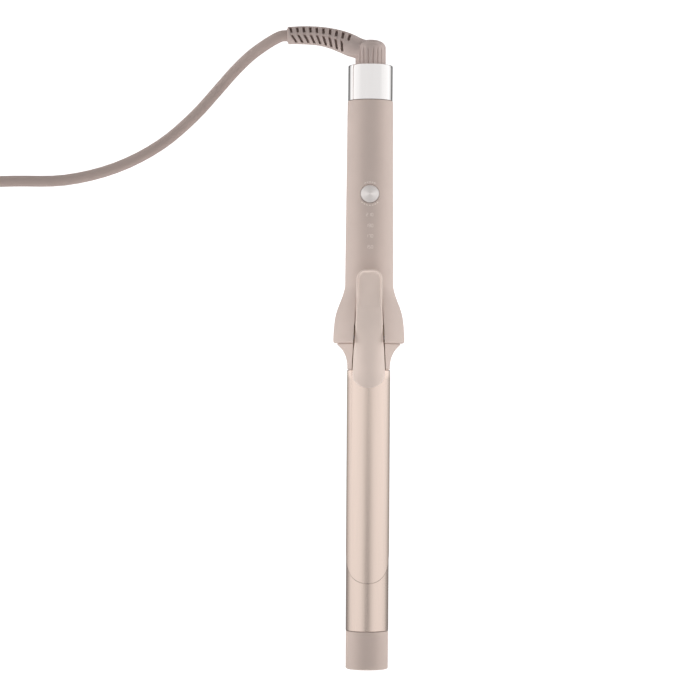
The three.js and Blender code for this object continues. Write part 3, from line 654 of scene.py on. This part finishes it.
def plate_loop(y, half, count=40, ri=RI, ro=RO, rounded=True):
    """One section of the plate, its outer edge rounded towards the plate's outline."""
    full = math.radians(half) * ro
    share = [math.sin(math.pi / 2 * (i / (count / 2))) for i in range(count // 2 + 1)]
    arcs = [-full * v for v in reversed(share)] + [full * v for v in share[1:]]
    outer, inner = [], []
    for a in arcs:
        drop = 0.0
        if rounded:
            if y > END_Y + END_B:
                d = ARC - abs(a)
            else:
                dy = y - (END_Y + END_B)
                f = math.hypot(a / ARC, dy / END_B)
                g = math.hypot(a / ARC**2, dy / END_B**2) / max(f, 1e-6)
                d = (1 - f) / g
            drop = max(round_off(d, 0.4), round_off(NEAR_Y - y, 0.25))
        w = a / ro
        outer.append(((ro - drop) * math.sin(w), y, (ro - drop) * math.cos(w)))
        inner.append((ri * math.sin(w), y, ri * math.cos(w)))
    return outer + inner[::-1]


rings = [plate_loop(NEAR_Y - v, HALF) for v in (0.0, 0.03, 0.1, 0.25)] + [plate_loop(y, HALF) for y in steps(-24, -123, 9)]
for d in [2, 8, 14, 20, 26, 32, 38, 44, 50, 56, 61, 66, 70, 74, 77, 80, 82.5, 84.5, 86.3, 87.8, 88.8]:
    a = math.radians(d)
    rings.append(plate_loop(END_Y + END_B - END_B * math.sin(a), HALF * math.cos(a)))
plate = make("clamp_shell", *loft_data(rings), GOLD, sharp=50)
tongue = make("tongue", *loft_data([plate_loop(y, 27, 16, rounded=False) for y in (-20.5, -5.2)]), GOLD)
plate = boolean(plate, [tongue], "UNION")
plate = boolean(plate, [post_obj(0, y, 10, 16, 1.25, 32) for y in (-13.2, -8.0)])
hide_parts("clamp_plate")

# ------------------------------------------------------------------ thumb lever
LEVER_Z = [(-29.3, 14.25), (-25, 14.8), (-21.5, 15.3), (-18.2, 15.8), (-14, 16.5), (-10, 17.3), (-3, 18.95), (5, 20.3), (11, 21.1), (16, 21.9), (19.4, 22.65), (21.5, 23.2), (30, 25.7), (39.8, 28.5)]
CROWN = [(-29.3, 3.9), (-18.2, 4.9), (-10, 4.5), (-3, 3.2), (5, 2.1), (11, 1.5), (17.5, 0.7), (24, 0.15), (39.8, 0.1)]
WIDTH = [(-21.5, 9.5), (-18.2, 9.4), (-3, 8.6), (8, 7.95), (15, 7.6), (20, 7.5), (36, 7.5)]
TOP_Y, CORNER = 39.1, 5.6


def lever_w(y):
    if y < -21.5:
        t = min(1.0, (-21.5 - y) / 7.8)
        return 9.5 * max(0.0, 1 - t**2.0) ** 0.52
    w = smooth_table(WIDTH, y)
    c = TOP_Y - CORNER
    if y > c:
        t = min(1.0, (y - c) / CORNER)
        w = w - CORNER + CORNER * math.sqrt(max(0.0, 1 - t**2))
        w = max(w, 0.1)
    return w


def rim_distance(x, y):
    """Distance in from the paddle's outline."""
    w = 7.5
    qx, qy = abs(x) - (w - CORNER), y - (TOP_Y - CORNER)
    if qx > 0 and qy > 0:
        return CORNER - math.hypot(qx, qy)
    return min(w - abs(x), TOP_Y - y)


def lever_top(x, y):
    z = smooth_table(LEVER_Z, y) - table(CROWN, y) * (x / 9.5) ** 2
    if y > 14.0:
        d = rim_distance(x, y)
        deep = ease((y - 13.5) / 12.0)
        z -= 0.7 * ease((d - 0.85) / 0.6) * deep
        z += 0.16 * math.exp(-(((d - 0.62) / 0.4) ** 2)) * deep
        z += 0.13 * math.exp(-(((y - 17.0) / 1.1) ** 2)) * ease((d - 0.9) / 1.2)
    return z


YS = [-21.5 - 7.8 * s for s in (0.998, 0.985, 0.96, 0.92, 0.87, 0.8, 0.7, 0.58, 0.44, 0.28, 0.12)]
YS += steps(-21.0, 13.0, 1.2) + steps(13.6, 22.0, 0.5) + steps(23.0, 33.6, 1.1) + [TOP_Y - CORNER * s for s in (0.92, 0.8, 0.68, 0.56, 0.45, 0.35, 0.26, 0.18, 0.11, 0.055, 0.02)]
EDGE_R = 0.75
half_xs = [0.18, 0.34, 0.48, 0.6, 0.7, 0.77, 0.81, 0.835, 0.855, 0.875, 0.895, 0.915, 0.935, 0.955, 0.972, 0.986, 0.996, 1]
xs_unit = [-v for v in reversed(half_xs)] + [0] + half_xs
rings = []
for y in YS:
    w = lever_w(y)
    end = max(0.0, min(1.0, min(y + 29.3, TOP_Y - y) / 0.9))
    loop = []
    for s in xs_unit:
        x = w * s
        d = w - abs(x)
        dd = min(d, EDGE_R)
        drop = EDGE_R - math.sqrt(max(0.0, EDGE_R**2 - (EDGE_R - dd) ** 2))
        drop = max(drop, 0.6 * (1 - math.sqrt(max(0.0, 1 - (1 - end) ** 2))))
        loop.append((x, y, lever_top(x, y) - drop))
    for s in reversed(xs_unit):
        x = w * s * 0.985
        thick = 2.0 + 0.0 * y
        low = smooth_table(LEVER_Z, y) - table(CROWN, y) * (x / 9.5) ** 2 - thick
        if y > 6:
            low -= 0.0
        d = w - abs(w * s)
        edge = max(0.0, 0.7 - d) * 0.9 if y > 8 else 0.0
        saddle = math.sqrt(13.72**2 - x * x)
        f = ease((y + 6) / 5)
        loop.append((x, y, saddle * (1 - f) + (low + edge) * f))
    rings.append(loop)
lever = make("thumb_lever_cover", *loft_data(rings), LEVER_PAINTED_LIGHT, sharp=50)
lugs = []
for s in (-1, 1):
    x0, x1 = (6.3, 8.15) if s > 0 else (-8.15, -6.3)
    lugs += [box_obj(x0, x1, -2.9, 2.9, 13.5, 17.4), rod_obj(0, 13.5, x0, x1, 2.9)]
for o in lugs:
    o.data.materials.clear()
    o.data.materials.append(LEVER_PAINTED_LIGHT)
lever = boolean(lever, lugs, "UNION", 50)
lever = boolean(lever, [rod_obj(0, 13.5, -9, 9, 1.33)] + [post_obj(0, y, 10, z, 1.1, 32) for y, z in ((-13.2, 15.0), (-8.0, 16.0))], sharp=50)
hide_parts("thumb_lever")

# ------------------------------------------------------------------ end ring and swivel elbow
rows = [(138.95, 11.5), (138.95, 12.9), (139.0, 12.97)] + [(y, 12.97) for y in steps(141, 157.5, 4)]
rows += [(159.05, 12.97), (159.35, 12.86), (159.5, 12.6), (159.5, 9.9), (159.35, 9.6), (159.35, 6.6), (157.9, 6.6), (157.9, 11.5)]
ring = make("polished_ring", *lathe_data(rows, 144, close=True), CHROME, sharp=40)
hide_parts("end_ring")

FLUTES = 20


def flute_ring(y, r, depth, n=240):
    loop = []
    for i in range(n):
        a = 2 * math.pi * i / n
        g = max(0.0, math.cos((a + math.pi / FLUTES) * FLUTES)) ** 3
        rr = r - depth * g
        loop.append((rr * math.sin(a), y, rr * math.cos(a)))
    return loop


rings = []
for y, r, dpt in [(159.75, 8.0, 0.0), (159.8, 8.5, 0.3), (160.1, 8.85, 0.62), (160.6, 8.9, 0.68), (163, 8.9, 0.68), (166, 8.9, 0.66), (167.6, 8.9, 0.6), (168.8, 8.88, 0.4), (169.8, 8.85, 0.15), (170.6, 8.78, 0.0), (171.1, 8.68, 0.0), (171.5, 8.52, 0.0), (172.2, 8.12, 0.0), (172.9, 7.5, 0.0), (173.5, 6.7, 0.0), (174.0, 5.7, 0.0), (174.4, 4.5, 0.0), (174.65, 3.2, 0.0), (174.8, 1.6, 0.0), (174.82, 0.3, 0.0)]:
    rings.append(flute_ring(y, r, dpt))
elbow = make("swivel_cap", *loft_data(rings), CORDSET, sharp=50)
v, f = lathe_data([(159.9, 0.0), (159.9, 6.2), (158.3, 6.2), (158.2, 3.6), (157.5, 3.6), (157.5, 8.6), (155.2, 8.6), (155.2, 3.6), (140.5, 3.6), (140.5, 2.2), (157.0, 2.2), (157.0, 0.0)], 64)
shaft = make("swivel_shaft", v, f, CORDSET, sharp=35)
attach(shaft, "swivel")
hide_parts("swivel_elbow")

# Strain relief: a boot with two rows of slots and a spine between them.
BOOT = [(-3.2, 168.5), (-7.0, 169.8), (-10.9, 171.3), (-15.5, 173.2), (-20.2, 174.8), (-24.9, 176.0), (-29.6, 176.8), (-34.3, 177.2), (-39.0, 177.35), (-43.7, 177.3), (-48.7, 177.1)]
boot_line = catmull([Vector((x, y, 0)) for x, y in BOOT], 20)
acc = [0.0]
for a, b in zip(boot_line, boot_line[1:]):
    acc.append(acc[-1] + (b - a).length)
BOOT_LEN = acc[-1]
N_RINGS, N_SIDES = 310, 88
PITCH = 3.7


def window(v, a, b, soft):
    """1 between a and b, with soft sides."""
    return ease((v - a) / soft) * ease((b - v) / soft)


rings, hollow = [], []
j = 0
stations = [BOOT_LEN * k / N_RINGS for k in range(N_RINGS + 1)]
for s in stations:
    while j + 2 < len(acc) and acc[j + 1] < s:
        j += 1
    t = (s - acc[j]) / (acc[j + 1] - acc[j])
    p = boot_line[j].lerp(boot_line[j + 1], min(1.0, t))
    q = (boot_line[j + 1] - boot_line[j]).normalized()
    nrm = Vector((-q.y, q.x, 0))
    left = BOOT_LEN - s
    base = smooth_table([(0, 4.95), (9, 5.3), (18, 5.5), (26, 5.9), (33, 6.35), (37.5, 6.45), (42.5, 6.1), (47, 6.2)], left)
    if left < 0.5:
        base -= 0.5 - math.sqrt(max(0.0, 0.25 - (0.5 - left) ** 2))
    if left < 2.0:
        base += 0.1 * window(left, 0.0, 2.0, 0.5)
    loop, floor_of = [], []
    for i in range(N_SIDES):
        a = 2 * math.pi * i / N_SIDES
        c, z = math.cos(a), math.sin(a)
        deep = 0.0
        # Two rows of slots with a spine between them. c runs from -1 on the far edge to 1 on the barrel's side.
        if c < 0:
            along = left - 2.1 - 0.9 * (c + 0.5)
            n = round(along / PITCH)
            if 0 <= n <= 9:
                deep = window(c, -0.9, -0.16, 0.12) * window(along - n * PITCH, -0.86, 0.86, 0.28)
        else:
            along = left - 3.6 - 3.2 * (c - 0.4)
            n = round(along / PITCH)
            if 0 <= n <= 8:
                deep = window(c, 0.0, 0.9, 0.12) * window(along - n * PITCH, -0.86, 0.86, 0.28)
        h = base * z
        h = math.copysign(max(min(abs(h), 0.7), abs(h) - 2.5 * deep), h)
        floor_of.append(deep > 0.55)
        loop.append((p.x + nrm.x * base * c, p.y + nrm.y * base * c, h))
    rings.append(loop)
    hollow.append(floor_of)
# A thin collar closes the gap to the cord.
p, q = boot_line[-1], (boot_line[-1] - boot_line[-2]).normalized()
nrm = Vector((-q.y, q.x, 0))
for out, r in ((0.0, 3.9), (0.38, 3.8), (0.41, 3.4)):
    loop = []
    for i in range(N_SIDES):
        a = 2 * math.pi * i / N_SIDES
        c = r * math.cos(a)
        loop.append((p.x + q.x * out + nrm.x * c, p.y + q.y * out + nrm.y * c, r * math.sin(a)))
    rings.append(loop)
v, f = loft_data(rings)
# Faces with all their corners deep in a slot take the painted shade material.
inside = []
for q in f:
    rows_of = [divmod(k, N_SIDES) for k in q]
    inside.append(len(q) == 4 and all(r < len(hollow) and hollow[r][i] for r, i in rows_of))
me = bpy.data.meshes.new("strain_relief_boot")
me.from_pydata([iron(*p) for p in v], [], f)
boot = bpy.data.objects.new("strain_relief_boot", me)
bpy.context.scene.collection.objects.link(boot)
me.materials.append(CORDSET)
me.materials.append(SLOT_PAINTED_SHADE)
me.polygons.foreach_set("material_index", [1 if k else 0 for k in inside])
fix_normals(me)
smooth(me, 70)
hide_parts("strain_relief")

# ------------------------------------------------------------------ power button
rows = [(0.0, 0.0), (0.0, 0.5)]
prof = [(12.62, 0.0), (12.63, 1.2), (12.66, 2.6), (12.7, 3.9), (12.72, 4.6), (12.76, 4.95), (12.74, 5.15), (12.6, 5.3), (12.4, 5.35), (9.2, 5.35), (9.2, 6.1), (8.3, 6.1), (8.3, 1.5), (7.9, 1.4), (7.9, 0.0)]
v, f = lathe_data(prof, 128)
button = make("power_button_cap", [(x, z, y - 12.7) for x, y, z in v], f, SPUN, sharp=40, local=False)
button.matrix_world = IRON @ Matrix.Translation((0, 0.0837, 0.0127))
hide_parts("power_button")

# ------------------------------------------------------------------ prints on the handle
def on_handle(x, y, lift=0.03):
    r = radius_at(y) + lift
    return (x, y, math.sqrt(max(0.0, r * r - x * x)))


def print_strip(name, line, width, material, lift=0.05):
    """A thin raised ink line that follows the handle's surface along plan points."""
    pts = catmull([Vector((x, y, 0)) for x, y in line], 6) if len(line) > 2 else [Vector((x, y, 0)) for x, y in line]
    rings = []
    for i, p in enumerate(pts):
        q = (pts[min(i + 1, len(pts) - 1)] - pts[max(i - 1, 0)]).normalized()
        nrm = Vector((-q.y, q.x, 0)) * (width / 2)
        a, b = p + nrm, p - nrm
        rings.append([on_handle(a.x, a.y, lift), on_handle(b.x, b.y, lift), on_handle(b.x, b.y, -0.1), on_handle(a.x, a.y, -0.1)])
    return make(name, *loft_data(rings), material, sharp=30)


SEG = {"0": "abcdef", "1": "bc", "2": "abged", "3": "abgcd", "4": "fgbc", "5": "afgcd", "6": "afgedc", "7": "abc", "8": "abcdefg", "9": "abcdfg"}


def digit(ch, x, y, w, h):
    """Strokes of a plain numeral as plan lines."""
    p = {"tl": (x, y + h), "tr": (x + w, y + h), "ml": (x, y + h / 2), "mr": (x + w, y + h / 2), "bl": (x, y), "br": (x + w, y)}
    lines = {"a": ("tl", "tr"), "b": ("tr", "mr"), "c": ("mr", "br"), "d": ("bl", "br"), "e": ("ml", "bl"), "f": ("tl", "ml"), "g": ("ml", "mr")}
    return [[p[k] for k in lines[s]] for s in SEG[ch]]


marks = []
for text, y in (("210", 71.55), ("190", 65.2), ("170", 59.15), ("150", 52.8)):
    for n, ch in enumerate(text):
        for k, seg in enumerate(digit(ch, -2.05 + n * 1.5, y - 0.85, 0.95, 1.7)):
            marks.append(print_strip(f"numeral_{text}_{n}_{k}", seg, 0.27, PRINT))
for k, d in enumerate((-24, -12, 0, 12, 24)):
    arc = [(6.8 * math.sin(math.radians(d + e)), 83.7 + 6.8 * math.cos(math.radians(d + e))) for e in (-4, 0, 4)]
    marks.append(print_strip("button_arc_top_%d" % k, arc, 0.52, PRINT))
for k, d in enumerate((-42, -28, -14, 0, 14, 28, 42)):
    arc = [(6.8 * math.sin(math.radians(d + e)), 83.7 - 6.8 * math.cos(math.radians(d + e))) for e in (-4, 0, 4)]
    marks.append(print_strip("button_arc_bottom_%d" % k, arc, 0.58, PRINT))
with bpy.context.temp_override(active_object=marks[0], selected_editable_objects=marks, object=marks[0], selected_objects=marks):
    bpy.ops.object.join()
prints = marks[0]
prints.name = "handle_prints"

# ------------------------------------------------------------------ bodies
for o in (front, rear, neck, barrel, tip, ring, prints):
    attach(o, "root")
for o in (plate, lever):
    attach(o, "clamp")
for o in (elbow, boot):
    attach(o, "swivel")
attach(button, "button")

# ------------------------------------------------------------------ carried-over CAD nodes
NODE_MATERIAL = {
    "handle_screw_a": STEEL, "handle_screw_b": STEEL, "hinge_pin": STEEL, "tip_snap_ring": STEEL, "barrel_mount": MICA, "heat_barrier": CERAMIC,
    "spreader_upper": ALU, "spreader_lower": ALU, "heater_plate": CERAMIC, "thermistor_bead": RED, "clamp_screw_a": STEEL, "clamp_screw_b": STEEL,
    "clamp_spring": STEEL, "swivel_clip": STEEL, "slip_ring_a": BRASS, "slip_ring_b": BRASS, "brush_a": BRASS, "brush_b": BRASS, "brush_carrier": DARK,
    "control_board": BOARD, "tact_switch": DARK, "mode_light_guide": LENS, "triac": DARK, "film_capacitor": RED, "controller_chip": DARK,
    "thermal_fuse": WHITE, "mains_wire_a": RED, "mains_wire_b": DARK, "heater_lead_a": WHITE, "heater_lead_b": WHITE,
}
for name, material in NODE_MATERIAL.items():
    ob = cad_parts[name]
    if not ob.material_slots:
        ob.data.materials.append(material)
    for s in ob.material_slots:
        s.material = material

# ------------------------------------------------------------------ stage and light
me = bpy.data.meshes.new("floor")
me.from_pydata([(-4, -4, 0), (4, -4, 0), (4, 4, 0), (-4, 4, 0)], [], [(0, 1, 2, 3)])
floor = bpy.data.objects.new("floor", me)
bpy.context.scene.collection.objects.link(floor)
fm, nt, b = new_material("floor_pale")
b.inputs["Base Color"].default_value = (0.3, 0.3, 0.3, 1)
b.inputs["Roughness"].default_value = 0.95
b.inputs["Specular IOR Level"].default_value = 0.0
b.inputs["Emission Color"].default_value = (1, 1, 1, 1)
b.inputs["Emission Strength"].default_value = 1.0
me.materials.append(fm)
floor.visible_glossy = False

# The world is what the metal mirrors: a narrow dark gap overhead between two broad bright sides, dark again underneath. Towards +Y the gap closes.
world = bpy.data.worlds.new("studio")
bpy.context.scene.world = world
world.use_nodes = True
world.cycles_visibility.diffuse = False
wt = world.node_tree
bg = wt.nodes["Background"]
co = wt.nodes.new("ShaderNodeTexCoord")
sep = wt.nodes.new("ShaderNodeSeparateXYZ")
wt.links.new(co.outputs["Generated"], sep.inputs["Vector"])


def wmath(op, a, b=None):
    n = wt.nodes.new("ShaderNodeMath")
    n.operation = op
    for i, v in enumerate((a, b)):
        if v is None:
            continue
        if isinstance(v, (int, float)):
            n.inputs[i].default_value = v
        else:
            wt.links.new(v, n.inputs[i])
    return n.outputs["Value"]


# The angle from straight up in the plane across the iron, as a share of a half turn.
angle = wmath("DIVIDE", wmath("ARCTAN2", wmath("ABSOLUTE", sep.outputs["X"]), sep.outputs["Z"]), math.pi)


def grey(v, tint=(1.0, 1.0, 1.0)):
    return tuple(v * t for t in tint)


def sky(stops):
    return ramp(wt, angle, [(deg / 180, grey(v)) for deg, v in stops])


gap = sky([(0, 0.33), (7, 0.38), (16, 0.64), (28, 0.88), (45, 1.0), (88, 1.0), (108, 0.88), (126, 0.46), (148, 0.28), (180, 0.42)])
closed = sky([(0, 0.82), (50, 0.84), (66, 0.94), (82, 1.0), (114, 1.12), (128, 0.75), (142, 0.25), (152, 0.08), (180, 0.04)])
where = wt.nodes.new("ShaderNodeMapRange")
where.interpolation_type = "SMOOTHSTEP"
where.inputs["From Min"].default_value = 0.005
where.inputs["From Max"].default_value = 0.06
wt.links.new(sep.outputs["Y"], where.inputs["Value"])
mix = wt.nodes.new("ShaderNodeMix")
mix.data_type = "RGBA"
wt.links.new(where.outputs["Result"], mix.inputs["Factor"])
wt.links.new(gap.outputs["Color"], mix.inputs["A"])
wt.links.new(closed.outputs["Color"], mix.inputs["B"])
for n in mix.inputs:
    if n.type == "RGBA" and n.name == "A":
        wt.links.new(gap.outputs["Color"], n)
    if n.type == "RGBA" and n.name == "B":
        wt.links.new(closed.outputs["Color"], n)
out_colour = [o for o in mix.outputs if o.type == "RGBA"][0]
wt.links.new(out_colour, bg.inputs["Color"])
fade = ramp(wt, wmath("MULTIPLY", wmath("ADD", sep.outputs["Y"], 1.0), 0.9), [((y + 1) * 0.9, grey(v)) for y, v in ((-1, 0.85), (-0.8, 0.7), (-0.62, 0.3), (-0.42, 0.3), (-0.25, 0.66), (-0.13, 0.84), (0.01, 1.05))])
wt.links.new(fade.outputs["Color"], bg.inputs["Strength"])


def softbox(name, place, size, radiance, target):
    """A matt panel light that gives form to the plastics and doesn't mirror in the metal."""
    d = bpy.data.lights.new(name, "AREA")
    d.shape = "RECTANGLE"
    d.size, d.size_y = size
    d.energy = radiance * math.pi * size[0] * size[1]
    ob = bpy.data.objects.new(name, d)
    bpy.context.scene.collection.objects.link(ob)
    p = Vector(place)
    z = (p - Vector(target)).normalized()
    x = Vector((0, 1, 0)).cross(z) if abs(z.y) < 0.7 else Vector((1, 0, 0))
    x.normalize()
    y = z.cross(x)
    ob.matrix_world = Matrix(((x.x, y.x, z.x, p.x), (x.y, y.y, z.y, p.y), (x.z, y.z, z.z, p.z), (0, 0, 0, 1)))
    ob.visible_glossy = False
    return ob


softbox("panel_left", (-1.5, 0.0, 0.3), (0.5, 2.4), 3.9, (0, 0, 0.02))
softbox("panel_right", (1.5, 0.0, 0.3), (0.5, 2.4), 4.1, (0, 0, 0.02))
softbox("panel_top", (0.0, 0.0, 2.0), (3.0, 3.0), 1.01, (0, 0, 0))
fill = softbox("panel_low", (0.0, -1.6, 0.5), (2.4, 0.5), 3.5, (0, 0, 0.02))
fill.data.use_shadow = False

bpy.context.scene.view_settings.view_transform = "Standard"
bpy.context.scene.view_settings.look = "None"
